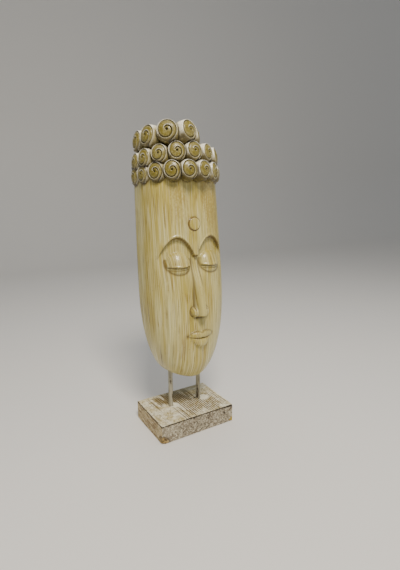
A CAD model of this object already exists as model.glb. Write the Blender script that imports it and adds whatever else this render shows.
import math

import bmesh
import bpy
import numpy as np
from mathutils import Euler, Matrix, Vector


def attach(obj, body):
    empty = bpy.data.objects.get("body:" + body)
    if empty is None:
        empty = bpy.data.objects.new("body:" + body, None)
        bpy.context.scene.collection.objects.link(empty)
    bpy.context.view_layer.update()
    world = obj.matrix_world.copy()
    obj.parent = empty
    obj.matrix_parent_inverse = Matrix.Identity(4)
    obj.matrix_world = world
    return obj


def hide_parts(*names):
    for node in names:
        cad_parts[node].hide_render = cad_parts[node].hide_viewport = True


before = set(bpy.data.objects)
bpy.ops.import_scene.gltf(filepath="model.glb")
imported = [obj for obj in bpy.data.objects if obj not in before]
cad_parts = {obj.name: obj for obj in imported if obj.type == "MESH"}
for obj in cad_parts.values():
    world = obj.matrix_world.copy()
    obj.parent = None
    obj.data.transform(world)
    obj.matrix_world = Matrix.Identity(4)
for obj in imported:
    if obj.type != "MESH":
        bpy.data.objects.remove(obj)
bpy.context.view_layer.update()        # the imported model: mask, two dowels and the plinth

# Sizes of the head, in metres and degrees, the same as the solids have
head = {
    "faceHeight": 0.318,      # chin to hairline
    "faceWidth": 0.140,
    "faceDepth": 0.068,
    "leanDegrees": 5.6,
    "place": (0.003, 0.013, 0.089),   # middle of the sawn back at the chin
    "wall": 0.017,            # wood around the hollow
    "hollow": (0.50, 2.86),   # its lower and upper end, in thirds
    "chinRound": 1.30,        # thirds of the face over which the jaw closes
    "jawStart": 0.13,
    "chinShare": 0.58,        # depth of the chin's underside as a share of the face's
    "chinRise": 0.9,
    "crown": 3.70,            # height of the carved block, in thirds
    "crownRise": 0.05,
    "knot": 3.49,             # height at which the top knot stands back
    "knotShift": -0.54,       # its middle, in eyes to the right
    "dotHeight": 2.355,       # middle of the forehead dot, in thirds
    "columns": 168,
    "backColumns": 56,
    "rowStep": 0.00098,       # height of one row of the fine surface
}
eye = head["faceWidth"] / 5
third = head["faceHeight"] / 3
headPlacing = (Matrix.Translation(head["place"])
               @ Matrix.Rotation(-math.radians(head["leanDegrees"]), 4, "X"))


def smoothStep(low, high, value):
    share = np.clip((value - low) / (high - low), 0, 1)
    return share * share * (3 - 2 * share)


def hill(across, up, centreUp, wide, high):
    return np.exp(-(across / wide) ** 2 - ((up - centreUp) / high) ** 2)


def dome(across, up, wide, high):
    return np.sqrt(np.clip(1 - (across / wide) ** 2 - (up / high) ** 2, 0, None))


def line(distance, width):
    return np.exp(-(distance / width) ** 2)


# Nodes
def addNode(tree, kind, settings=None, links=None):
    # Settings are a node's own choices and fixed values, links are sockets or plain values
    node = tree.nodes.new(kind)
    for key, value in (settings or {}).items():
        if isinstance(key, int) or key in node.inputs:
            node.inputs[key].default_value = value
        else:
            setattr(node, key, value)
    for key, source in (links or {}).items():
        if isinstance(source, bpy.types.NodeSocket):
            tree.links.new(source, node.inputs[key])
        else:
            node.inputs[key].default_value = source
    return node


def colour(hexCode):
    parts = [int(hexCode[i:i + 2], 16) / 255 for i in (0, 2, 4)]
    linear = [p / 12.92 if p <= 0.04045 else ((p + 0.055) / 1.055) ** 2.4 for p in parts]
    return (*linear, 1.0)


def startMaterial(name, carried=()):
    # An empty material, the object's coordinates and the values that its mesh carries
    material = bpy.data.materials.new(name)
    material.use_nodes = True
    tree = material.node_tree
    tree.nodes.clear()
    place = addNode(tree, "ShaderNodeTexCoord").outputs["Object"]
    fields = {key: addNode(tree, "ShaderNodeAttribute", {"attribute_name": key}).outputs["Fac"]
              for key in carried}
    return material, tree, place, fields


def addPatterns(tree, place, fields, patterns):
    # A noise for each row: name, stretch in patches per metre, detail, roughness, distortion
    for name, stretch, detail, roughness, distortion in patterns:
        stretched = addNode(tree, "ShaderNodeMapping", {"Scale": stretch}, {"Vector": place})
        fields[name] = addNode(tree, "ShaderNodeTexNoise",
                               {"Scale": 1.0, "Detail": detail, "Roughness": roughness,
                                "Distortion": distortion},
                               {"Vector": stretched.outputs["Vector"]}).outputs["Fac"]


def addWobbles(tree, fields, wobbles):
    # Shifts of an edge to both sides: name, the field it follows, its whole width in metres
    for name, source, width in wobbles:
        fields[name] = addNode(tree, "ShaderNodeMapRange",
                               {"clamp": False, "To Min": -width / 2, "To Max": width / 2},
                               {"Value": fields[source]}).outputs["Result"]


def addSpots(tree, place, fields, spots):
    # 1 inside a round patch: name, middle, radius, width of its soft edge, wobble of that edge
    for name, middle, radius, soft, wobble in spots:
        away = addNode(tree, "ShaderNodeVectorMath", {"operation": "DISTANCE", 1: middle}, {0: place})
        uneven = addNode(tree, "ShaderNodeMath", {"operation": "ADD"},
                         {0: away.outputs["Value"], 1: fields[wobble] if wobble else 0.0})
        fields[name] = addNode(tree, "ShaderNodeMapRange",
                               {"interpolation_type": "SMOOTHSTEP", "From Min": radius,
                                "From Max": radius + soft, "To Min": 1.0, "To Max": 0.0},
                               {"Value": uneven.outputs["Value"]}).outputs["Result"]


def addRegions(tree, place, fields, regions):
    # 1 inside a box seen from above: name, low and high corner, width of its soft edge, wobble
    sides = addNode(tree, "ShaderNodeSeparateXYZ", {}, {"Vector": place}).outputs
    for name, low, high, soft, wobble in regions:
        inside = 1.0
        for axis in (0, 1):
            moved = addNode(tree, "ShaderNodeMath", {"operation": "ADD"},
                            {0: sides[axis], 1: fields[wobble]}).outputs["Value"]
            for outer, inner in ((low[axis] - soft, low[axis]), (high[axis] + soft, high[axis])):
                fade = addNode(tree, "ShaderNodeMapRange",
                               {"interpolation_type": "SMOOTHSTEP", "From Min": outer, "From Max": inner},
                               {"Value": moved})
                inside = addNode(tree, "ShaderNodeMath", {"operation": "MULTIPLY"},
                                 {0: inside, 1: fade.outputs["Result"]}).outputs["Value"]
        fields[name] = inside


def coverage(tree, fields, share, parts):
    # How much a layer covers: its share times each part. A part is a field, or a field with the
    # two values between which it fades in.
    for part in parts:
        name, *limits = (part,) if isinstance(part, str) else part
        value = fields[name]
        if limits:
            value = addNode(tree, "ShaderNodeMapRange",
                            {"interpolation_type": "SMOOTHSTEP", "From Min": limits[0],
                             "From Max": limits[1]}, {"Value": value}).outputs["Result"]
        share = addNode(tree, "ShaderNodeMath", {"operation": "MULTIPLY"},
                        {0: value, 1: share}).outputs["Value"]
    return share


def paintLayers(tree, ground, paint, fields, layers):
    # Lays colours over a ground, one after another: name of the paint or of a tone made before,
    # its share, and the parts that say where it lies
    tone = colour(paint[ground])
    for name, share, *parts in layers:
        over = colour(paint[name]) if name in paint else fields[name]
        tone = addNode(tree, "ShaderNodeMix", {"data_type": "RGBA"},
                       {0: coverage(tree, fields, share, parts), 6: tone, 7: over}).outputs[2]
    return tone


def finishMaterial(material, tone, fields, finish):
    # Roughness follows one field, and the bump is a weighted sum of fields
    tree = material.node_tree
    low, high = finish["roughness"]
    rough = addNode(tree, "ShaderNodeMapRange", {"To Min": low, "To Max": high},
                    {"Value": fields[finish["roughBy"]]})
    height = 0.0
    for name, weight in finish["relief"]:
        height = addNode(tree, "ShaderNodeMath", {"operation": "MULTIPLY_ADD", 1: weight},
                         {0: fields[name], 2: height}).outputs["Value"]
    bump = addNode(tree, "ShaderNodeBump", {"Strength": 1.0, "Distance": finish["bumpDistance"]},
                   {"Height": height})
    shader = addNode(tree, "ShaderNodeBsdfPrincipled", finish["shader"],
                     {"Base Color": tone, "Roughness": rough.outputs["Result"],
                      "Normal": bump.outputs["Normal"]})
    addNode(tree, "ShaderNodeOutputMaterial", {}, {"Surface": shader.outputs["BSDF"]})
    return material


# Whitewashed albesia wood: a pale lime wash rubbed back along the grain, so ochre stain and brown
# pores show as vertical streaks, under a thin satin varnish.
maskPaint = {
    "cream": "B7A54B",
    "wash": "CBC07B",
    "pale": "EDE8C0",
    "ochre": "957818",
    "deepOchre": "684D0A",
    "creaseStain": "5A430E",
    "shade": "80703A",
    "crevice": "54431F",
    "rawWood": "A98C5C",
    # Finish
    "roughBy": "streak",
    "roughness": (0.34, 0.56),
    "relief": (("streak", 0.5), ("grain", 0.6), ("pore", -0.4)),
    "bumpDistance": 0.0005,
    "shader": {"IOR": 1.5, "Coat Weight": 0.55, "Coat Roughness": 0.15},
}


def dotCentre():
    # Middle of the forehead dot
    depth = headSection(head["dotHeight"])[1]
    return headPlacing @ Vector((0, -float(depth), head["dotHeight"] * third))


def maskWoodMaterial():
    material, tree, place, fields = startMaterial(
        "whitewashed mask wood", ("around", "along", "crease", "crevice", "worn", "rawWood"))
    # Round the mask and up it, in metres, so that streaks keep their width on its curved sides
    onWood = addNode(tree, "ShaderNodeCombineXYZ", {},
                     {"X": fields["around"], "Z": fields["along"]}).outputs["Vector"]
    addPatterns(tree, onWood, fields, (
        ("streak", (330, 1, 9), 4.0, 0.6, 0.0),        # streaks 3 mm wide, 110 mm long
        ("broad", (55, 1, 5.5), 3.0, 0.55, 0.0),       # tone bands about 18 mm wide
        ("pore", (1100, 1, 60), 2.0, 0.6, 0.0),        # pores under 1 mm wide
        ("speck", (420, 1, 260), 2.0, 0.5, 0.0),       # specks of about 2 mm
        ("blotch", (38, 1, 24), 3.0, 0.6, 0.6),        # rubbed patches of about 30 mm
        ("hairline", (850, 1, 13), 1.0, 0.5, 0.0),     # lines of 1 by 75 mm
        ("grain", (720, 1, 14), 1.5, 0.55, 0.0),       # strokes of 1.4 by 90 mm
    ))
    addWobbles(tree, fields, (("patchWobble", "streak", 0.05),))
    upright = addNode(tree, "ShaderNodeMapping", {"Scale": (1, 1, 0.35)}, {"Vector": onWood})
    addSpots(tree, upright.outputs["Vector"], fields, (
        ("leftPatch", (-0.024, 0, 0.1010), 0.006, 0.008, "patchWobble"),
        ("rightPatch", (0.034, 0, 0.1060), 0.015, 0.008, "patchWobble"),
    ))
    fields["dot"] = addNode(tree, "ShaderNodeVectorMath", {"operation": "DISTANCE", 1: tuple(dotCentre())},
                            {0: place}).outputs["Value"]
    fields["raw"] = paintLayers(tree, "rawWood", maskPaint, fields, (("cream", 1.0, ("streak", 0.35, 0.65)),))
    tone = paintLayers(tree, "cream", maskPaint, fields, (
        ("wash", 1.0, ("broad", 0.38, 0.64)),
        ("ochre", 0.90, ("streak", 0.52, 0.66), ("blotch", 0.40, 0.60)),
        ("deepOchre", 0.75, ("hairline", 0.60, 0.66), ("blotch", 0.40, 0.56)),
        ("shade", 0.35, ("pore", 0.60, 0.72)),
        ("pale", 0.36, ("grain", 0.52, 0.62)),
        ("shade", 0.32, ("grain", 0.47, 0.38)),
        ("deepOchre", 0.70, ("speck", 0.66, 0.74), ("blotch", 0.44, 0.62)),
        ("ochre", 0.55, "leftPatch", ("speck", 0.30, 0.62)),          # left under the hairline
        ("ochre", 0.55, "rightPatch", ("speck", 0.30, 0.62)),
        ("creaseStain", 1.0, "crease", ("streak", 0.0, 0.38)),
        ("deepOchre", 0.85, ("dot", 0.0088, 0.0095), ("dot", 0.0115, 0.0106)),   # ring of the dot
        ("crevice", 0.80, "crevice"),
        ("wash", 0.60, "worn"),
        ("raw", 1.0, "rawWood"),                                      # the sawn back
    ))
    return finishMaterial(material, tone, fields, maskPaint)


# The curls: the same wash over ochre stain, rubbed off the spiral faces so that they read golden,
# with brown left in the grooves and white on the rims and the sides.
curlPaint = {
    "wash": "ADA16C",
    "rim": "FFFCE8",
    "ochre": "80752D",
    "gold": "756806",
    "tan": "8F8450",
    "groove": "1E1602",
    "shade": "574A18",
    "crevice": "281D05",
    # Finish
    "roughBy": "fine",
    "roughness": (0.38, 0.60),
    "relief": (("fine", 1.0),),
    "bumpDistance": 0.0004,
    "shader": {"IOR": 1.5, "Coat Weight": 0.55, "Coat Roughness": 0.18},
}


def curlWoodMaterial():
    material, tree, place, fields = startMaterial(
        "whitewashed and stained curls",
        ("stain", "groove", "rim", "sunk", "under", "crevice", "curlTone"))
    addPatterns(tree, place, fields, (
        ("patch", (110, 110, 110), 3.0, 0.6, 0.0),     # patches about 9 mm wide
        ("fine", (520, 520, 520), 3.0, 0.6, 0.0),      # brush marks about 2 mm wide
    ))
    fields["golden"] = addNode(tree, "ShaderNodeMath", {"operation": "MULTIPLY_ADD", 1: 0.30},
                               {0: fields["curlTone"], 2: fields["patch"]}).outputs["Value"]
    fields["deep"] = addNode(tree, "ShaderNodeMath", {"operation": "MAXIMUM"}, {
        0: coverage(tree, fields, 1.0, ("under", ("patch", 0.20, 0.50))),
        1: coverage(tree, fields, 1.0, (("sunk", 0.45, 1.0),))}).outputs["Value"]
    fields["face"] = paintLayers(tree, "ochre", curlPaint, fields, (
        ("gold", 1.0, ("golden", 0.50, 0.78)),
        ("tan", 0.75, ("golden", 0.62, 0.44)),
        ("wash", 0.55, ("fine", 0.52, 0.66)),
        ("shade", 0.50, ("fine", 0.48, 0.36)),
    ))
    tone = paintLayers(tree, "wash", curlPaint, fields, (
        ("shade", 1.0, "sunk", ("patch", 0.35, 0.65)),
        ("shade", 1.0, "deep"),
        ("face", 1.0, "stain"),
        ("rim", 1.0, "rim", ("fine", 0.28, 0.50)),
        ("groove", 1.0, "groove"),
        ("crevice", 1.0, "crevice"),
    ))
    return finishMaterial(material, tone, fields, curlPaint)


# Sawn hardwood with a thin worn wash: saw marks and end grain show brown through the white.
plinthPaint = {
    "wash": "CDBC86",
    "grey": "A39064",
    "brown": "5F4820",
    "dark": "2A1E10",
    "stain": "806C2E",
    "moss": "7F7B60",
    "white": "FAF4DA",
    "frontGrey": "968972",
    "frontPale": "B2A78E",
    "pit": "362B1C",
    "sidePale": "DAC796",
    "sideBrown": "8E6F44",
    "broken": "B79A5C",
    "ochre": "B89A20",
    # Finish
    "roughBy": "mottle",
    "roughness": (0.62, 0.85),
    "relief": (("mottle", 0.7), ("stroke", 0.5), ("pits", -0.5)),
    "bumpDistance": 0.0009,
    "shader": {"IOR": 1.5},
}


def plinthWoodMaterial():
    material, tree, place, fields = startMaterial(
        "rough sawn whitewashed plinth wood", ("topFace", "frontFace", "edgeLine", "worn", "broken"))
    slanting = addNode(tree, "ShaderNodeMapping", {"Rotation": (0, 0, math.radians(-3))},
                       {"Vector": place}).outputs["Vector"]
    sloping = addNode(tree, "ShaderNodeMapping", {"Rotation": (math.radians(-12), 0, 0)},
                      {"Vector": place}).outputs["Vector"]
    addPatterns(tree, place, fields, (
        ("broad", (60, 60, 60), 3.0, 0.6, 0.0),        # patches of 17 mm
        ("mottle", (300, 300, 300), 4.0, 0.65, 0.0),   # mottling of 3 mm
        ("grit", (900, 900, 900), 2.0, 0.6, 0.0),      # grit of 1 mm
        ("coarse", (400, 400, 520), 4.0, 0.72, 0.0),   # pits of 2 mm
    ))
    addPatterns(tree, slanting, fields, (("stroke", (300, 12, 40), 2.0, 0.5, 0.0),))    # 3.3 mm apart
    addPatterns(tree, sloping, fields, (("sideGrain", (90, 40, 330), 4.0, 0.65, 0.0),))  # 3 by 25 mm
    sawPlace = addNode(tree, "ShaderNodeMapping", {"Scale": (82, 20, 20)}, {"Vector": slanting})
    fields["wave"] = addNode(tree, "ShaderNodeTexWave",                      # a saw mark each 3.8 mm
                             {"Scale": 1.0, "Distortion": 1.1, "Detail": 1.0, "Detail Scale": 1.4},
                             {"Vector": sawPlace.outputs["Vector"]}).outputs["Fac"]
    addWobbles(tree, fields, (
        ("wobble", "mottle", 0.03),
        ("poolWobble", "mottle", 0.0045),
        ("ragged", "stroke", 0.07),                    # uneven ends of the saw strokes
    ))
    addRegions(tree, place, fields, (
        ("stained", (-0.036, 0.014), (0.016, 0.038), 0.012, "ragged"),
        ("back", (-0.010, 0.040), (0.050, 0.060), 0.012, "wobble"),
        ("sawn", (-0.012, -0.038), (0.056, 0.006), 0.010, "ragged"),
        ("crowd", (-0.030, -0.060), (0.060, -0.040), 0.030, "wobble"),
    ))
    addSpots(tree, place, fields, (
        ("leftPool", (-0.0185, 0.0015, 0.0315), 0.0060, 0.0040, "poolWobble"),
        ("rightPool", (0.0390, 0.0000, 0.0315), 0.0075, 0.0040, "poolWobble"),
        ("backHole", (0.0242, 0.0060, 0.0315), 0.0014, 0.0012, None),
        ("frontHole", (0.0285, -0.0008, 0.0315), 0.0010, 0.0012, None),
        ("nailHole", (0.0509, -0.0490, 0.0206), 0.0012, 0.0012, None),
        ("ochreSpot", (0.0690, -0.0490, 0.0045), 0.0030, 0.0020, "wobble"),
    ))
    fields["pits"] = coverage(tree, fields, 1.0, (("coarse", 0.53, 0.60), ("grit", 0.34, 0.50)))
    fields["pitShare"] = addNode(tree, "ShaderNodeMapRange", {"To Min": 0.38, "To Max": 0.98},
                                 {"Value": fields["crowd"]}).outputs["Result"]
    marks = (("wave", 0.42, 0.68), ("mottle", 0.28, 0.40))
    # Top: cream wash, brown saw strokes in front, an ochre stain behind the left dowel
    fields["top"] = paintLayers(tree, "wash", plinthPaint, fields, (
        ("white", 1.0, ("broad", 0.35, 0.65)),
        ("grey", 0.55, ("mottle", 0.52, 0.64)),
        ("white", 0.60, ("mottle", 0.47, 0.36)),
        ("white", 0.60, ("coarse", 0.47, 0.40)),
        ("stain", 0.45, ("coarse", 0.54, 0.62)),
        ("stain", 0.75, "stained"),
        ("brown", 1.0, "stained", *marks),
        ("moss", 0.70, "back"),
        ("brown", 1.0, "sawn", *marks),
        ("brown", 0.35, ("wave", 0.70, 0.90), ("stroke", 0.50, 0.62)),
        ("white", 1.0, "leftPool"),
        ("white", 1.0, "rightPool"),
        ("dark", 1.0, "backHole"),
        ("dark", 1.0, "frontHole"),
    ))
    # Front: grey wash over a coarse sawn face, with dark pits that crowd in the middle
    fields["front"] = paintLayers(tree, "frontGrey", plinthPaint, fields, (
        ("frontPale", 1.0, ("broad", 0.35, 0.65)),
        ("white", 0.60, ("coarse", 0.47, 0.38)),
        ("pit", 1.0, "pits", "pitShare"),
        ("dark", 1.0, "nailHole"),
        ("ochre", 1.0, "ochreSpot"),
    ))
    fields["brokenWood"] = paintLayers(tree, "brown", plinthPaint, fields,
                                       (("broken", 1.0, ("mottle", 0.40, 0.58)),))
    # Sides: beige wash in long brown streaks. The other faces lie over them.
    tone = paintLayers(tree, "sidePale", plinthPaint, fields, (
        ("sideBrown", 1.0, ("sideGrain", 0.40, 0.62)),
        ("white", 0.50, ("coarse", 0.46, 0.38)),
        ("pit", 0.40, "pits"),
        ("front", 1.0, "frontFace"),
        ("top", 1.0, "topFace"),
        ("dark", 1.0, "edgeLine", ("mottle", 0.28, 0.46)),
        ("white", 1.0, "worn"),
        ("brokenWood", 1.0, "broken"),
    ))
    return finishMaterial(material, tone, fields, plinthPaint)


# Turned dowel wood with a grey-green wash, worn through to dark brown.
dowelPaint = {
    "wash": "9B9580",
    "pale": "B9B49E",
    "worn": "4E4230",
    # Finish
    "roughBy": "strokes",
    "roughness": (0.50, 0.75),
    "relief": (("strokes", 1.0),),
    "bumpDistance": 0.0005,
    "shader": {"IOR": 1.5},
}


def dowelWoodMaterial():
    material, tree, place, fields = startMaterial("grey washed dowel wood")
    addPatterns(tree, place, fields, (
        ("strokes", (420, 420, 32), 3.0, 0.6, 0.0),    # wear in strokes of 2 by 30 mm
        ("wear", (170, 170, 60), 3.0, 0.6, 0.0),       # worn places of 6 by 17 mm
    ))
    tone = paintLayers(tree, "wash", dowelPaint, fields, (
        ("pale", 1.0, ("strokes", 0.35, 0.65)),
        ("worn", 1.0, ("wear", 0.53, 0.66)),
    ))
    return finishMaterial(material, tone, fields, dowelPaint)


# Shape of the head: sections sawn flat at the back, laid out as the solids are
def jawHeight(angle):
    return head["chinRound"] * (math.cos(head["jawStart"]) - np.cos(angle))


def headSection(up):
    up = np.asarray(up, float)
    reach = np.clip(math.cos(head["jawStart"]) - up / head["chinRound"], -1, 1)
    jaw = 2.5 * np.sin(np.arccos(np.clip(reach, 0, 1))) ** 0.72
    rise = np.clip(up - head["chinRound"], 0, None) / (3 - head["chinRound"])
    half = np.where(up < jawHeight(math.pi / 2), jaw, 2.5 - 0.18 * rise ** 1.5)
    chin = np.clip(1 - up / head["chinRise"], 0, 1)
    front = head["chinShare"] + (1 - head["chinShare"]) * np.sqrt(1 - chin * chin)
    half = half - 0.22 * smoothStep(3.1, head["knot"], up) - 0.75 * knotShare(up)
    front = front - 0.08 * smoothStep(3.2, 3.46, up) - 0.04 * knotShare(up)
    power = 2.25 + 0.6 * smoothStep(0.0, 1.6, up)
    above = np.clip((up - head["crown"]) / head["crownRise"], 0, 1)
    closing = np.sqrt(1 - 0.9 * above * above)
    return half * eye * closing, front * head["faceDepth"] * closing, power


def knotShare(up):
    return smoothStep(head["knot"] - 0.07, head["knot"] + 0.07, np.asarray(up, float))


def sectionPoint(half, depth, power, turn):
    side = np.abs(np.sin(turn))
    ahead = np.abs(np.cos(turn))
    reach = (side ** power + ahead ** power) ** (-1 / power)
    return np.sign(turn) * half * reach * side, -depth * reach * ahead


# The face: calm and general, five eyes wide and three equal parts high.
# across is in eyes from the middle, up is in thirds above the chin, the result is in eyes.
face = {
    "browHeight": 0.27,
    "socketDepth": 0.26,
    "lidDepth": 0.30,
    "lidCentre": 1.80,
    "noseHeight": 0.52,
    "lipHeight": 0.22,
    "mouthLine": 0.675,
}


def browLine(across):
    along = np.clip((across - 0.12) / 1.88, 0, 1)
    return 1.90 + face["browHeight"] * np.sin(math.pi * along) ** 0.75


def faceRelief(across, up):
    across = np.abs(across)
    rise = up * third / eye                                   # height in eyes
    centre = face["lidCentre"] * third / eye
    under = (browLine(across) - up) * third / eye             # depth below the brow, in eyes
    side = 1 - smoothStep(1.70, 2.15, across)
    socket = smoothStep(-0.02, 0.11, under) * (1 - smoothStep(0.60, 2.0, under)) * side
    browEdge = line(under + 0.075, 0.055) * side * smoothStep(0.05, 0.25, across)
    # Lids: the upper one is a full shell with a rolled edge, the lower one a narrow crescent
    lidShape = dome(across - 1.0, rise - centre, 0.68, 0.60)
    lid = face["lidDepth"] * lidShape ** 0.75
    slit = centre - 0.18 - 0.07 * np.cos(math.pi * (across - 1.0) / 1.36)
    onLid = smoothStep(0.05, 0.40, lidShape)
    below = smoothStep(-0.02, 0.02, slit - rise)
    roll = line(rise - slit - 0.075, 0.045) * onLid
    lid = lid - 0.10 * below * onLid + 0.035 * roll
    slitLine = line(rise - slit, 0.030) * smoothStep(0.05, 0.3, lidShape)
    lowLine = line(rise - slit + 0.14, 0.030) * smoothStep(0.05, 0.3, lidShape)
    lid = lid - 0.05 * slitLine - 0.03 * lowLine
    # Nose: a ridge with flat sides that widens to the tip, with a rounded wing on each side
    down = np.clip((1.95 - up) / 0.85, 0, 1)
    half = 0.15 + 0.13 * down
    ridge = (0.07 + face["noseHeight"] * down) * (1 - smoothStep(0.45, 1.30, across / half))
    top = 1 - smoothStep(1.93, 2.12, up)
    tip = smoothStep(0.985, 1.025, up)
    wing = 0.33 * dome(across - 0.34, up - 1.075, 0.21, 0.070) ** 0.9
    nose = np.maximum(ridge * top * tip, wing)
    wingFold = line(np.hypot((across - 0.34) / 0.21, (up - 1.075) / 0.070) - 1.12, 0.16)
    wingFold = wingFold * smoothStep(0.30, 0.42, across) * (up > 1.0)
    nostril = 0.14 * hill(across - 0.17, up, 1.0, 0.09, 0.018)
    # Mouth: two full lips with a cut edge, meeting in a fine line
    mouth = face["mouthLine"] + 0.035 * (across / 0.75) ** 2
    reach = np.clip(1 - (across / 0.78) ** 2, 0.0004, 1) ** 0.6
    lowReach = np.clip(1 - (across / 0.62) ** 2, 0.0004, 1) ** 0.6
    bow = 1 - 0.25 * np.exp(-(across / 0.12) ** 2)
    lipBack = up - mouth
    upper = 0.22 * reach * dome(0.0, lipBack - 0.05 * reach, 1.0, 0.062 * reach * bow) ** 0.8
    lower = face["lipHeight"] * lowReach * dome(0.0, lipBack + 0.065 * lowReach, 1.0, 0.07 * lowReach) ** 0.8
    mouthCut = line(lipBack, 0.009) * reach * (across < 0.80)
    corner = hill(across - 0.80, up, face["mouthLine"] + 0.038, 0.07, 0.03)
    lipEdge = line(lipBack - 0.112 * reach * bow, 0.010) * smoothStep(0.80, 0.68, across)
    philtrum = 0.04 * hill(across, up, 0.87, 0.07, 0.07)
    fullness = 0.14 * hill(across, up, 0.62, 1.1, 0.36) + 0.13 * hill(across, up, 0.24, 0.75, 0.17)
    fullness = fullness + 0.08 * hill(across - 1.35, up, 1.25, 0.6, 0.35)
    relief = (fullness + nose + lid - face["socketDepth"] * socket + np.maximum(upper, lower)
              + 0.045 * browEdge - nostril - philtrum - 0.05 * mouthCut - 0.05 * corner
              - 0.035 * wingFold)
    lidEdge = line(np.hypot((across - 1.0) / 0.68, (rise - centre) / 0.60) - 1.06, 0.09)
    crease = np.maximum.reduce([
        line(under - 0.035, 0.075) * side, slitLine, 0.8 * lowLine,
        0.75 * lidEdge * side * (rise < centre + 0.25), mouthCut, 0.9 * corner, 0.9 * wingFold,
        0.65 * lipEdge, 0.85 * line(across / half - 1.20, 0.20) * top * tip * (up > 1.1),
        hill(across, up, 0.985, 0.30, 0.024)])
    return relief, np.clip(crease, 0, 1)


def foreheadDot(across, up):
    # The round dot: a low disc inside a stained ring
    distance = np.hypot(across, (up - head["dotHeight"]) * third / eye)
    disc = 1 - smoothStep(0.325, 0.395, distance)
    ring = line(distance - 0.37, 0.035)
    return 0.070 * disc - 0.045 * ring, 0.3 * ring


def rowHeights():
    jaw = jawHeight(np.linspace(head["jawStart"], 0.75, 34))
    step = head["rowStep"] / third
    rows = np.arange(jaw[-1] + step, 3.0, step)
    hair = np.linspace(3.0, head["crown"], 30)
    crown = head["crown"] + head["crownRise"] * np.sin(np.linspace(0.15, math.pi / 2, 8))
    return np.concatenate([jaw, rows, hair, crown])


def waver(x, z, seed):
    # A slow hand-carved unevenness
    steps = np.random.default_rng(seed).uniform(0, 2 * math.pi, 8)
    total = 0
    for number, (wide, high) in enumerate(((90, 30), (160, 55), (260, 80), (60, 130))):
        total = total + np.sin(x * wide + steps[2 * number]) * np.cos(z * high + steps[2 * number + 1])
    return total / 4


def hollowSection(up):
    low, high = head["hollow"]
    lift = np.arccos(np.clip(((low + high) / 2 - up) * 2 / (high - low), -1, 1))
    share = np.maximum(np.sin(lift), 0.10) ** 0.45
    half, depth, power = headSection(np.clip(up, low, high))
    inside = smoothStep(low - 0.012, low + 0.008, up) * (1 - smoothStep(high - 0.008, high + 0.012, up))
    return (half - head["wall"]) * share, (depth - 1.3 * head["wall"]) * share * inside, power


def meshPoints(mesh):
    flat = np.zeros(len(mesh.vertices) * 3)
    mesh.vertices.foreach_get("co", flat)
    return flat.reshape(-1, 3)


def meshFromGrid(name, vertices, faces, attributes):
    mesh = bpy.data.meshes.new(name)
    mesh.from_pydata([tuple(v) for v in vertices], [], faces)
    for key, values in attributes.items():
        layer = mesh.attributes.new(key, "FLOAT", "POINT")
        layer.data.foreach_set("value", np.asarray(values, dtype=np.float32))
    mesh.shade_smooth()
    item = bpy.data.objects.new(name, mesh)
    bpy.context.scene.collection.objects.link(item)
    return item


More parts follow.
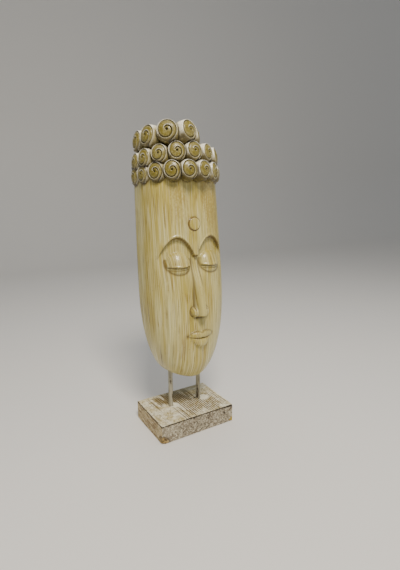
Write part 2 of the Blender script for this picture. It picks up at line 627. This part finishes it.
def buildHead(material):
    ups = rowHeights()
    columns = head["columns"]
    share = np.linspace(-1, 1, columns + 1)
    turn = math.pi / 2 * (0.70 * share + 0.30 * share ** 3)
    half, depth, power = headSection(ups)
    x, y = sectionPoint(half[:, None], depth[:, None], power[:, None], turn[None, :])
    around = np.zeros_like(x)
    around[:, 1:] = np.cumsum(np.hypot(np.diff(x, axis=1), np.diff(y, axis=1)), axis=1)
    around = around - around[:, columns // 2:columns // 2 + 1]
    z = np.repeat((ups * third)[:, None], columns + 1, axis=1)
    across = x / eye
    upGrid = np.repeat(ups[:, None], columns + 1, axis=1)
    relief, crease = faceRelief(across, upGrid)
    dotHeight, dotRing = foreheadDot(across, upGrid)
    edge = (1 - np.abs(np.sin(turn)) ** 8)[None, :]
    onFace = (upGrid < 3.0) * edge
    y = y - (relief + dotHeight) * eye * onFace - 0.0003 * waver(x, z, 4) * edge
    shift = (head["knotShift"] * eye * knotShare(ups))[:, None]
    x = x + shift
    crease = np.clip(np.maximum(crease, dotRing) * onFace, 0, 1)
    worn = np.clip((relief - 0.30) * 4, 0, 1) * onFace
    frontCount = x.size
    # The back: flat around the rim, hollow inside, sharing the side edges of the front
    inner = head["backColumns"]
    hollowHalf, hollowDepth, hollowPower = hollowSection(ups)
    hollowHalf = np.minimum(hollowHalf, half - 0.004)
    hollowHalf = np.maximum(hollowHalf, 0.3 * half)
    rim = 6
    rimShare = np.arange(1, rim) / rim
    innerTurn = np.linspace(-math.pi / 2, math.pi / 2, inner + 1)
    bx, by = sectionPoint(hollowHalf[:, None], np.maximum(hollowDepth, 1e-9)[:, None],
                          hollowPower[:, None], innerTurn[None, :])
    left = -half[:, None] + (half - hollowHalf)[:, None] * rimShare[None, :]
    right = -left[:, ::-1]
    bx = np.concatenate([left, bx, right], 1)
    backAround = bx * (around[:, -1] / half)[:, None]
    flat = np.zeros_like(left)
    by = np.concatenate([flat, by, flat], 1)
    bx = bx + shift
    bz = np.repeat((ups * third)[:, None], bx.shape[1], axis=1)
    by = by + 0.0006 * waver(bx * 1.6, bz * 2.2, 9) * (by < -0.001)   # marks of the gouge
    rows = len(ups)
    faces = []
    wide = columns + 1
    for row in range(rows - 1):
        start = row * wide
        for column in range(columns):
            a = start + column
            faces.append((a, a + 1, a + 1 + wide, a + wide))
    backWide = bx.shape[1]

    def backIndex(row, column):
        # Columns 0 and last are the front's own side edges
        if column == 0:
            return row * wide
        if column == backWide + 1:
            return row * wide + columns
        return frontCount + row * backWide + column - 1

    for row in range(rows - 1):
        for column in range(backWide + 1):
            faces.append((backIndex(row, column + 1), backIndex(row, column),
                          backIndex(row + 1, column), backIndex(row + 1, column + 1)))
    points = np.concatenate([np.stack(part, -1).reshape(-1, 3) for part in ((x, y, z), (bx, by, bz))])
    layers = {
        "crease": np.append(crease, np.zeros(bx.size)),
        "worn": np.append(worn, np.zeros(bx.size)),
        "rawWood": np.append(np.zeros(x.size), np.ones(bx.size)),
        "around": np.append(around, backAround),
        "along": np.append(z, bz),
    }
    # Underside of the chin and the crown, each closed by a fan of triangles round its middle
    for row, flip in ((0, False), (rows - 1, True)):
        ring = [row * wide + column for column in range(wide)]
        ring += [backIndex(row, column) for column in range(backWide, 0, -1)]
        middle = len(points)
        points = np.concatenate([points, points[ring].mean(axis=0, keepdims=True)])
        for key, values in layers.items():
            layers[key] = np.append(values, values[ring].mean())
        for here, after in zip(ring, ring[1:] + ring[:1]):
            faces.append((here, after, middle) if flip else (after, here, middle))
    item = meshFromGrid("carvedMask", points, faces, layers)
    item.data.transform(headPlacing)
    item.data.materials.append(material)
    return item


# The curls of hair
curls = {
    # A row lies on half an ellipse round the head, as wide and deep as given, in eyes. Height and
    # drop towards the sides are in thirds, and the tilt is in degrees.
    "rows": (
        {"count": 10, "first": -4.144, "spacing": 0.921, "wide": 2.364, "deep": 2.522, "centre": 0.552,
         "shift": 0.0, "height": 3.094, "drop": 0.012, "halfWide": 0.452, "halfHigh": 0.510, "tilt": 1},
        {"count": 9, "first": -3.860, "spacing": 0.965, "wide": 2.321, "deep": 2.120, "centre": 0.710,
         "shift": 0.0, "height": 3.356, "drop": 0.080, "halfWide": 0.460, "halfHigh": 0.515, "tilt": 6},
        {"count": 6, "first": -3.356, "spacing": 1.239, "wide": 1.534, "deep": 1.903, "centre": 0.837,
         "shift": -0.540, "height": 3.628, "drop": 0.044, "halfWide": 0.560, "halfHigh": 0.585, "tilt": 8},
    ),
    "length": 0.95,
    "startDegrees": -60,
    "around": 60,
    "rings": 27,
    "seed": 11,
    "sizeSpread": 0.035,
    "turnSpread": 0.20,
    # Carving of the spiral, in half widths of a curl
    "spiralOut": 0.86,
    "spiralIn": 0.20,
    "cutDepth": 0.20,
    "pitDepth": 0.20,
    "swell": 0.28,
}


def curlPrototype():
    # A unit curl, face towards +Z: a rounded drum with a spiral cut into its domed face
    around = curls["around"]
    rings = curls["rings"]
    angle = np.arange(around) * 2 * math.pi / around
    share = (angle - math.radians(curls["startDegrees"])) / (2 * math.pi) % 1.0
    radii = list(np.linspace(0.03, 0.97, rings))
    vertices = []
    stain, groove, rim, sunk, under = ([] for layer in range(5))
    below = smoothStep(-0.1, 0.75, -np.sin(angle + 0.25))   # the lower right part of the drum
    above = smoothStep(-0.15, 0.65, np.sin(angle - 0.45))

    def addRing(radius, height, values):
        for number in range(around):
            vertices.append((radius * math.cos(angle[number]), radius * math.sin(angle[number]),
                             height[number]))
        for store, value in zip((stain, groove, rim, sunk, under), values):
            store.extend(np.broadcast_to(value, (around,)))

    def spiralRadius(wound):
        # Round the rim for half a turn, then inwards, with a short tail out over the rim
        inwards = (curls["spiralOut"] - curls["spiralIn"]) * smoothStep(0.40, 1.75, wound)
        return curls["spiralOut"] - inwards + 1.6 * np.clip(-wound, 0, None)

    for radius in radii:
        cut = np.zeros(around)
        crest = np.zeros(around)
        for turn in (-1, 0, 1):
            wound = share + turn
            present = smoothStep(-0.11, -0.06, wound) * (1 - smoothStep(1.50, 1.62, wound))
            away = radius - spiralRadius(wound)
            cut = np.maximum(cut, line(away, 0.042) * present)
            crest = np.maximum(crest, line(away - 0.085, 0.035) * present)
        pit = 1 - smoothStep(0.07, 0.15, radius)
        lip = line(radius - 0.955, 0.055)
        swell = curls["swell"] * (1 - radius * radius)
        height = swell + 0.05 - curls["cutDepth"] * cut + 0.05 * crest + 0.04 * lip
        height = height - curls["pitDepth"] * pit
        height = height - 0.18 * smoothStep(0.90, 1.0, radius)
        golden = (1 - smoothStep(0.76, 0.88, radius)) * (1 - 0.8 * below * smoothStep(0.50, 0.80, radius))
        pale = np.clip(lip * above + 0.85 * crest * (0.35 + 0.65 * above), 0, 1)
        addRing(radius, height, (golden, np.clip(0.9 * cut + 0.8 * pit, 0, 1), pale, 0.0,
                                 below * smoothStep(0.55, 0.90, radius)))
    for depthShare, radius in ((0.02, 1.0), (0.08, 1.035), (0.20, 1.065), (0.40, 1.09), (0.70, 1.10),
                               (1.0, 1.10)):
        height = np.full(around, -0.16 - depthShare * (curls["length"] / 0.46 - 0.16))
        edge = 0.9 * (1 - smoothStep(0.05, 0.35, depthShare)) * above
        addRing(radius, height, (0.0, 0.0, edge, smoothStep(0.08, 0.55, depthShare), below))
    top = len(vertices)
    vertices.append((0, 0, 0.10))
    bottom = len(vertices)
    vertices.append((0, 0, vertices[top - 1][2]))
    middles = ((stain, (1, 0)), (groove, (0.9, 0)), (rim, (0, 0)), (sunk, (0, 1)), (under, (0, 0)))
    for store, values in middles:
        store.extend(values)
    faces = []
    levels = top // around
    for level in range(levels - 1):
        for number in range(around):
            after = (number + 1) % around
            a = level * around
            faces.append((a + number, a + around + number, a + around + after, a + after))
    for number in range(around):
        after = (number + 1) % around
        faces.append((top, number, after))
        faces.append((bottom, (levels - 1) * around + after, (levels - 1) * around + number))
    return meshFromGrid("curlPattern", vertices, faces,
                        {"stain": stain, "groove": groove, "rim": rim, "sunk": sunk, "under": under})


def alongEllipse(distance, wide, deep):
    angles = (np.arange(400) + 0.5) * math.pi / 800
    pieces = np.hypot(wide * np.cos(angles), deep * np.sin(angles)) * math.pi / 800
    travelled = np.cumsum(pieces)
    if distance >= travelled[-1]:
        return math.pi / 2, distance - travelled[-1]
    return float(np.interp(distance, travelled, angles + math.pi / 1600)) if distance > 0 else 0.0, 0.0


def curlPlaces():
    # One point for each curl, with its turn and its size
    places = []
    turns = []
    sizes = []
    frames = []
    for row in curls["rows"]:
        wide, deep = row["wide"], row["deep"]
        halfWide, halfHigh = row["halfWide"], row["halfHigh"]
        for number in range(row["count"]):
            offset = row["first"] + number * row["spacing"]
            angle, past = alongEllipse(abs(offset), wide, deep)
            side = math.copysign(1.0, offset)
            x = row["shift"] + side * wide * math.sin(angle)
            y = -row["centre"] - deep * math.cos(angle) + past
            up = row["height"] - row["drop"] * (1 - math.cos(angle))
            across = math.atan2(math.sin(angle) / wide, math.cos(angle) / deep)
            facing = side * (across + angle) / 2
            turn = Euler((math.pi / 2 - math.radians(row["tilt"]), 0, facing)).to_matrix().to_4x4()
            whole = headPlacing @ Matrix.Translation((x * eye, y * eye, up * third)) @ turn
            places.append(whole.to_translation())
            turns.append(whole.to_euler())
            sizes.append((halfWide * eye, halfHigh * eye, halfWide * eye))
            frames.append((np.array(whole.to_translation()), np.array(whole.to_3x3()),
                           halfWide * eye, halfHigh * eye))
    mesh = bpy.data.meshes.new("curlPlaces")
    mesh.from_pydata(places, [], [])
    for name, values in (("turn", turns), ("size", sizes)):
        layer = mesh.attributes.new(name, "FLOAT_VECTOR", "POINT")
        layer.data.foreach_set("vector", np.array(values, dtype=np.float32).reshape(-1))
    item = bpy.data.objects.new("curledHair", mesh)
    bpy.context.scene.collection.objects.link(item)
    return item, frames


def creviceNear(points, frames, skip=None):
    # 1 where a point lies in the crease beside a curl, 0 a few millimetres away
    nearest = np.full(len(points), 1.0)
    for number, (place, turn, halfWide, halfHigh) in enumerate(frames):
        local = (points - place) @ turn
        across = np.hypot(local[:, 0] / halfWide, local[:, 1] / halfHigh)
        behind = -local[:, 2] - curls["length"] * eye
        away = np.maximum.reduce([(across - 1.05) * halfWide, local[:, 2] - 0.001, behind])
        if skip is not None:
            away = np.where(skip == number, 1.0, away)
        nearest = np.minimum(nearest, away)
    return 1 - smoothStep(-0.0005, 0.0030, nearest)


def curlTree(material):
    tree = bpy.data.node_groups.new("curls on their places", "GeometryNodeTree")
    face = tree.interface
    face.new_socket("Geometry", in_out="INPUT", socket_type="NodeSocketGeometry")
    face.new_socket("Curl", in_out="INPUT", socket_type="NodeSocketObject")
    for name, kind in (("Size Spread", "NodeSocketFloat"), ("Turn Spread", "NodeSocketFloat"),
                       ("Seed", "NodeSocketInt")):
        face.new_socket(name, in_out="INPUT", socket_type=kind)
    face.new_socket("Geometry", in_out="OUTPUT", socket_type="NodeSocketGeometry")
    start = addNode(tree, "NodeGroupInput").outputs
    pattern = addNode(tree, "GeometryNodeObjectInfo", {"transform_space": "ORIGINAL"},
                      {"Object": start["Curl"]})
    turn = addNode(tree, "GeometryNodeInputNamedAttribute", {"data_type": "FLOAT_VECTOR", "Name": "turn"})
    size = addNode(tree, "GeometryNodeInputNamedAttribute", {"data_type": "FLOAT_VECTOR", "Name": "size"})
    asTurn = addNode(tree, "FunctionNodeEulerToRotation", {}, {0: turn.outputs["Attribute"]})
    placed = addNode(tree, "GeometryNodeInstanceOnPoints", {}, {
        "Points": start["Geometry"], "Instance": pattern.outputs["Geometry"],
        "Rotation": asTurn.outputs[0], "Scale": size.outputs["Attribute"]})
    turnRange = addNode(tree, "ShaderNodeMath", {"operation": "MULTIPLY", 1: -1.0},
                        {0: start["Turn Spread"]})
    spin = addNode(tree, "FunctionNodeRandomValue", {"data_type": "FLOAT"},
                   {2: turnRange.outputs[0], 3: start["Turn Spread"], "Seed": start["Seed"]})
    spinTurn = addNode(tree, "ShaderNodeCombineXYZ", {}, {"Z": spin.outputs[1]})
    spun = addNode(tree, "GeometryNodeRotateInstances", {},
                   {"Instances": placed.outputs["Instances"], "Rotation": spinTurn.outputs["Vector"]})
    low = addNode(tree, "ShaderNodeMath", {"operation": "SUBTRACT", 0: 1.0}, {1: start["Size Spread"]})
    high = addNode(tree, "ShaderNodeMath", {"operation": "ADD", 0: 1.0}, {1: start["Size Spread"]})
    grow = addNode(tree, "FunctionNodeRandomValue", {"data_type": "FLOAT"},
                   {2: low.outputs[0], 3: high.outputs[0], "Seed": start["Seed"]})
    sized = addNode(tree, "GeometryNodeScaleInstances", {},
                    {"Instances": spun.outputs["Instances"], "Scale": grow.outputs[1]})
    shade = addNode(tree, "FunctionNodeRandomValue", {"data_type": "FLOAT"}, {"Seed": start["Seed"]})
    toned = addNode(tree, "GeometryNodeStoreNamedAttribute",
                    {"data_type": "FLOAT", "domain": "INSTANCE", "Name": "curlTone"},
                    {"Geometry": sized.outputs["Instances"], "Value": shade.outputs[1]})
    real = addNode(tree, "GeometryNodeRealizeInstances", {}, {"Geometry": toned.outputs["Geometry"]})
    painted = addNode(tree, "GeometryNodeSetMaterial", {"Material": material},
                      {"Geometry": real.outputs["Geometry"]})
    addNode(tree, "NodeGroupOutput", {}, {"Geometry": painted.outputs["Geometry"]})
    return tree


def bakeNodes(item, tree, values):
    # Runs a node tree on an object once and keeps the result as its plain mesh
    modifier = item.modifiers.new(tree.name, "NODES")
    modifier.node_group = tree
    for socket in tree.interface.items_tree:
        if socket.in_out == "INPUT" and socket.name in values:
            modifier[socket.identifier] = values[socket.name]
    result = item.evaluated_get(bpy.context.evaluated_depsgraph_get())
    mesh = bpy.data.meshes.new_from_object(result)
    item.modifiers.clear()
    item.data = mesh
    return item


def buildCurls(material):
    pattern = curlPrototype()
    item, frames = curlPlaces()
    patternSize = len(pattern.data.vertices)
    bakeNodes(item, curlTree(material), {"Curl": pattern, "Size Spread": curls["sizeSpread"],
                                         "Turn Spread": curls["turnSpread"], "Seed": curls["seed"]})
    bpy.data.objects.remove(pattern, do_unlink=True)
    points = meshPoints(item.data)
    owner = np.arange(len(points)) // patternSize
    crevice = item.data.attributes.new("crevice", "FLOAT", "POINT")
    crevice.data.foreach_set("value", creviceNear(points, frames, owner).astype(np.float32))
    # Sawn off flat with the back of the mask
    bm = bmesh.new()
    bm.from_mesh(item.data)
    back = headPlacing @ Vector((0, -0.0003, 0))
    facing = headPlacing.to_3x3() @ Vector((0, 1, 0))
    cut = bmesh.ops.bisect_plane(bm, geom=list(bm.verts) + list(bm.edges) + list(bm.faces),
                                 plane_co=back, plane_no=facing, clear_outer=True)
    edges = [part for part in cut["geom_cut"] if isinstance(part, bmesh.types.BMEdge)]
    bmesh.ops.holes_fill(bm, edges=edges, sides=0)
    bm.to_mesh(item.data)
    bm.free()
    return item, frames


# The plinth: a sawn block with rubbed edges and one broken corner
plinth = {
    "size": (0.1374, 0.098, 0.0317),
    "edge": 0.0011,       # radius of the rubbed edges
    "step": 0.00095,      # spacing of the fine surface
    "chip": 0.0075,
    "holeRadius": 0.0043,
    "holeDepth": 0.0183,
    "roughness": 0.00022,
}
dowels = {
    "radius": 0.004,
    "places": (("left_dowel", -0.0245, 0.005), ("right_dowel", 0.0305, 0.005)),
    "low": 0.0137,
    "high": 0.1190,
    "uneven": 0.0002,
}


def gridLines(length, step):
    # Even lines with closer ones at both ends
    near = [0.0, 0.0003, 0.0006, 0.0010, 0.0015]
    count = round((length - 2 * near[-1]) / step)
    middle = np.linspace(near[-1], length - near[-1], count + 1)
    ends = length - np.array(near[:-1])[::-1]
    return np.concatenate([near[:-1], middle, ends]) - length / 2


def buildPlinth(material):
    size = np.array(plinth["size"])
    bm = bmesh.new()
    for axis in range(3):
        first, second = [a for a in range(3) if a != axis]
        u = gridLines(size[first], plinth["step"])
        v = gridLines(size[second], plinth["step"])
        for side in (-1, 1):
            rows = []
            for a in u:
                row = []
                for b in v:
                    point = [0.0, 0.0, 0.0]
                    point[axis], point[first], point[second] = side * size[axis] / 2, a, b
                    row.append(bm.verts.new(point))
                rows.append(row)
            for below, above in zip(rows, rows[1:]):
                for i in range(len(below) - 1):
                    bm.faces.new((below[i], below[i + 1], above[i + 1], above[i]))
    bmesh.ops.remove_doubles(bm, verts=bm.verts, dist=0.00001)
    bmesh.ops.recalc_face_normals(bm, faces=bm.faces)
    mesh = bpy.data.meshes.new("sawnPlinth")
    bm.to_mesh(mesh)
    bm.free()
    points = meshPoints(mesh)
    onFace = [np.abs(np.abs(points[:, axis]) - size[axis] / 2) < 1e-6 for axis in range(3)]
    topFace = (onFace[2] & (points[:, 2] > 0)).astype(float)
    frontFace = (onFace[1] & (points[:, 1] < 0) & (topFace < 0.5)).astype(float)
    x, y, z = points.T
    # Edges rubbed round, more in some places than in others
    radius = plinth["edge"] * (1 + 0.5 * waver(x * 1.2 + z * 2, y * 1.4, 21))
    inner = np.clip(points, -(size / 2 - radius[:, None]), size / 2 - radius[:, None])
    out = points - inner
    reach = np.maximum(np.linalg.norm(out, axis=1, keepdims=True), 1e-9)
    normal = out / reach
    uneven = waver(x * 3 + z, y * 3 + z * 2, 5) + 0.6 * waver(x * 14 + z * 5, y * 3 + z * 9, 6)
    sawMarks = 0.6 * waver(x * 9, y * 0.3, 7) * topFace
    hollowIn = plinth["roughness"] * (1.6 + uneven + sawMarks)
    points = inner + normal * (radius - hollowIn)[:, None]
    # The underside stays flat, and the broken corner is cut away
    flat = onFace[2] & (z < 0) & (np.abs(x) < size[0] / 2 - 0.0015) & (np.abs(y) < size[1] / 2 - 0.0015)
    points[flat, 2] = -size[2] / 2
    corner = np.array([-size[0] / 2, -size[1] / 2, -size[2] / 2])
    across = np.array([1.0, 0.8, 0.9]) / np.linalg.norm([1.0, 0.8, 0.9])
    cut = plinth["chip"] / math.sqrt(3)
    cut = cut + 0.0005 * waver(points[:, 0] * 9, points[:, 2] * 12, 3)
    missing = cut - (points - corner) @ across
    fromCorner = np.linalg.norm(points - corner, axis=1)
    fromCorner = fromCorner + 0.0015 * waver(points[:, 0] * 6, points[:, 2] * 8, 2)
    bruised = 0.9 * (1 - smoothStep(0.0110, 0.0140, fromCorner))
    broken = np.maximum(smoothStep(-0.0012, 0.0003, missing), bruised)
    crack = line(fromCorner - 0.0135, 0.0009) + 0.8 * line(missing + 0.0012, 0.0007)
    points = points + across * np.clip(missing, 0, None)[:, None]
    points[:, 2] += size[2] / 2
    edgeDistance = np.minimum(np.abs(y + size[1] / 2), np.abs(x + size[0] / 2))
    # Colour lines: dark under the front and left edges of the top, pale along the right edge
    lineLow = 0.0130 - 0.0014 * smoothStep(0.040, 0.060, x)
    edgeLine = (1 - smoothStep(0.0004, 0.0012, edgeDistance)) * smoothStep(lineLow, lineLow + 0.0013, z)
    edgeLine = np.clip(np.maximum(edgeLine, crack), 0, 1)
    worn = (1 - smoothStep(0.0010, 0.0024, np.abs(x - size[0] / 2))) * smoothStep(0.0140, 0.0150, z)
    worn = worn * (0.5 + 0.5 * waver(x, y * 3, 8) > 0.35)
    mesh.vertices.foreach_set("co", points.reshape(-1))
    for name, values in (("topFace", topFace), ("frontFace", frontFace), ("edgeLine", edgeLine),
                         ("worn", worn * 0.8), ("broken", broken)):
        layer = mesh.attributes.new(name, "FLOAT", "POINT")
        layer.data.foreach_set("value", values.astype(np.float32))
    mesh.shade_smooth()
    item = bpy.data.objects.new("sawnPlinth", mesh)
    bpy.context.scene.collection.objects.link(item)
    mesh.materials.append(material)
    # Blind holes for the dowels, cut where the surface is plain triangles
    bm = bmesh.new()
    bm.from_mesh(mesh)
    near = [face for face in bm.faces
            if any(math.dist(face.calc_center_median()[:2], hole[1:]) < 0.009 for hole in dowels["places"])]
    bmesh.ops.triangulate(bm, faces=near)
    bm.to_mesh(mesh)
    bm.free()
    for name, x, y in dowels["places"]:
        bm = bmesh.new()
        depth = plinth["holeDepth"] + 0.004
        bmesh.ops.create_cone(bm, cap_ends=True, segments=40, radius1=plinth["holeRadius"],
                              radius2=plinth["holeRadius"], depth=depth)
        top = plinth["size"][2] + 0.004
        bmesh.ops.translate(bm, verts=bm.verts, vec=(x, y, top - depth / 2))
        drillMesh = bpy.data.meshes.new("drill")
        bm.to_mesh(drillMesh)
        bm.free()
        drill = bpy.data.objects.new("drill", drillMesh)
        bpy.context.scene.collection.objects.link(drill)
        cutHole = item.modifiers.new(name, "BOOLEAN")
        cutHole.operation = "DIFFERENCE"
        cutHole.object = drill
        bpy.context.view_layer.update()
        result = item.evaluated_get(bpy.context.evaluated_depsgraph_get())
        drilled = bpy.data.meshes.new_from_object(result)
        item.modifiers.clear()
        item.data = drilled
        bpy.data.objects.remove(drill, do_unlink=True)
    return item


def buildDowel(name, x, y, material, seed):
    # A round rod, pared a little unevenly by hand
    around = 28
    levels = np.linspace(dowels["low"], dowels["high"], 96)
    angle = np.arange(around) * 2 * math.pi / around
    steps = np.random.default_rng(seed).uniform(0, 2 * math.pi, 6)
    turn, up = np.meshgrid(angle, levels)
    wave = (np.sin(up * 210 + steps[0] + turn) + np.sin(up * 430 + steps[1] - 2 * turn)
            + np.sin(3 * turn + up * 90 + steps[2])) / 3
    radius = dowels["radius"] - dowels["uneven"] * (1 + wave)
    bend = dowels["uneven"] * 0.8 * np.sin((levels - levels[0]) * 28 + steps[3])[:, None]
    px = x + bend + radius * np.cos(turn) - dowels["uneven"] * 0.4
    py = y + radius * np.sin(turn)
    vertices = np.stack([px, py, up], -1).reshape(-1, 3)
    faces = []
    for level in range(len(levels) - 1):
        for number in range(around):
            after = (number + 1) % around
            a = level * around
            faces.append((a + number, a + after, a + around + after, a + around + number))
    faces.append(tuple(reversed(range(around))))
    faces.append(tuple(range((len(levels) - 1) * around, len(levels) * around)))
    item = meshFromGrid(name, vertices, faces, {})
    item.data.materials.append(material)
    return item


# Camera, floor and light
view = {
    "cameraPlace": (-0.3113, -0.5536, 0.3839),
    "turnDegrees": -31.8,
    "downDegrees": 12.52,
    "lens": 25.0,
    "floorColour": "ECEAE6",
    "airColour": "DCDFE2",
    "airStrength": 0.36,
    # name, place, size, power, tint
    "lamps": (
        ("keyLight", (-0.25, -0.75, 1.35), 0.4, 20, "FFF6E8"),
        ("fillLight", (1.2, -0.7, 0.6), 1.2, 2.6, "F6F6F4"),
        ("topLight", (0.1, 0.4, 1.5), 0.9, 4, "FFFFFF"),
    ),
    "lampsAim": (0, 0, 0.26),
}


def buildStage():
    camera = bpy.data.cameras.new("camera")
    camera.lens = view["lens"]
    camera.sensor_width = 36.0
    item = bpy.data.objects.new("camera", camera)
    item.location = view["cameraPlace"]
    item.rotation_euler = (math.radians(90 - view["downDegrees"]), 0, math.radians(view["turnDegrees"]))
    bpy.context.scene.collection.objects.link(item)
    bpy.context.scene.camera = item
    # A pale sheet that lies flat under the mask and curves up behind it
    floorMesh = bpy.data.meshes.new("floor")
    bend = [(1.6 + 0.7 * math.sin(a), 0.7 - 0.7 * math.cos(a)) for a in np.linspace(0, math.pi / 2, 16)]
    profile = [(-4.0, 0.0)] + bend + [(2.3, 5.0)]
    sheet = [(x, y, z) for y, z in profile for x in (-5.0, 5.0)]
    strips = [(2 * i, 2 * i + 1, 2 * i + 3, 2 * i + 2) for i in range(len(profile) - 1)]
    floorMesh.from_pydata(sheet, [], strips)
    floorMesh.shade_smooth()
    floor = bpy.data.objects.new("floor", floorMesh)
    bpy.context.scene.collection.objects.link(floor)
    paper = bpy.data.materials.new("pale floor")
    paper.use_nodes = True
    surface = paper.node_tree.nodes["Principled BSDF"].inputs
    surface["Base Color"].default_value = colour(view["floorColour"])
    surface["Roughness"].default_value = 0.8
    floorMesh.materials.append(paper)
    world = bpy.data.worlds.new("studio")
    world.use_nodes = True
    background = world.node_tree.nodes["Background"].inputs
    background["Color"].default_value = colour(view["airColour"])
    background["Strength"].default_value = view["airStrength"]
    bpy.context.scene.world = world
    for name, place, size, power, tint in view["lamps"]:
        lamp = bpy.data.lights.new(name, "AREA")
        lamp.size = size
        lamp.energy = power
        lamp.color = colour(tint)[:3]
        light = bpy.data.objects.new(name, lamp)
        light.location = place
        aim = Vector(view["lampsAim"]) - Vector(place)
        light.rotation_euler = aim.to_track_quat("-Z", "Y").to_euler()
        bpy.context.scene.collection.objects.link(light)


buildStage()
print("stage ready")
maskWood = maskWoodMaterial()
carvedMask = buildHead(maskWood)
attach(carvedMask, "root")
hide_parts("mask")
print("mask carved", len(carvedMask.data.polygons))
curledHair, curlFrames = buildCurls(curlWoodMaterial())
creviceLayer = carvedMask.data.attributes.new("crevice", "FLOAT", "POINT")
nearCurls = creviceNear(meshPoints(carvedMask.data), curlFrames)
creviceLayer.data.foreach_set("value", nearCurls.astype(np.float32))
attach(curledHair, "root")
print("curls carved", len(curledHair.data.polygons))
dowelWood = dowelWoodMaterial()
for seed, (name, x, y) in enumerate(dowels["places"]):
    paredDowel = buildDowel("pared" + name.title().replace("_", ""), x, y, dowelWood, seed)
    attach(paredDowel, "root")
    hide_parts(name)
print("dowels pared")
sawnPlinth = buildPlinth(plinthWoodMaterial())
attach(sawnPlinth, "root")
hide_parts("plinth")
print("plinth sawn", len(sawnPlinth.data.polygons))

print("sizes written")
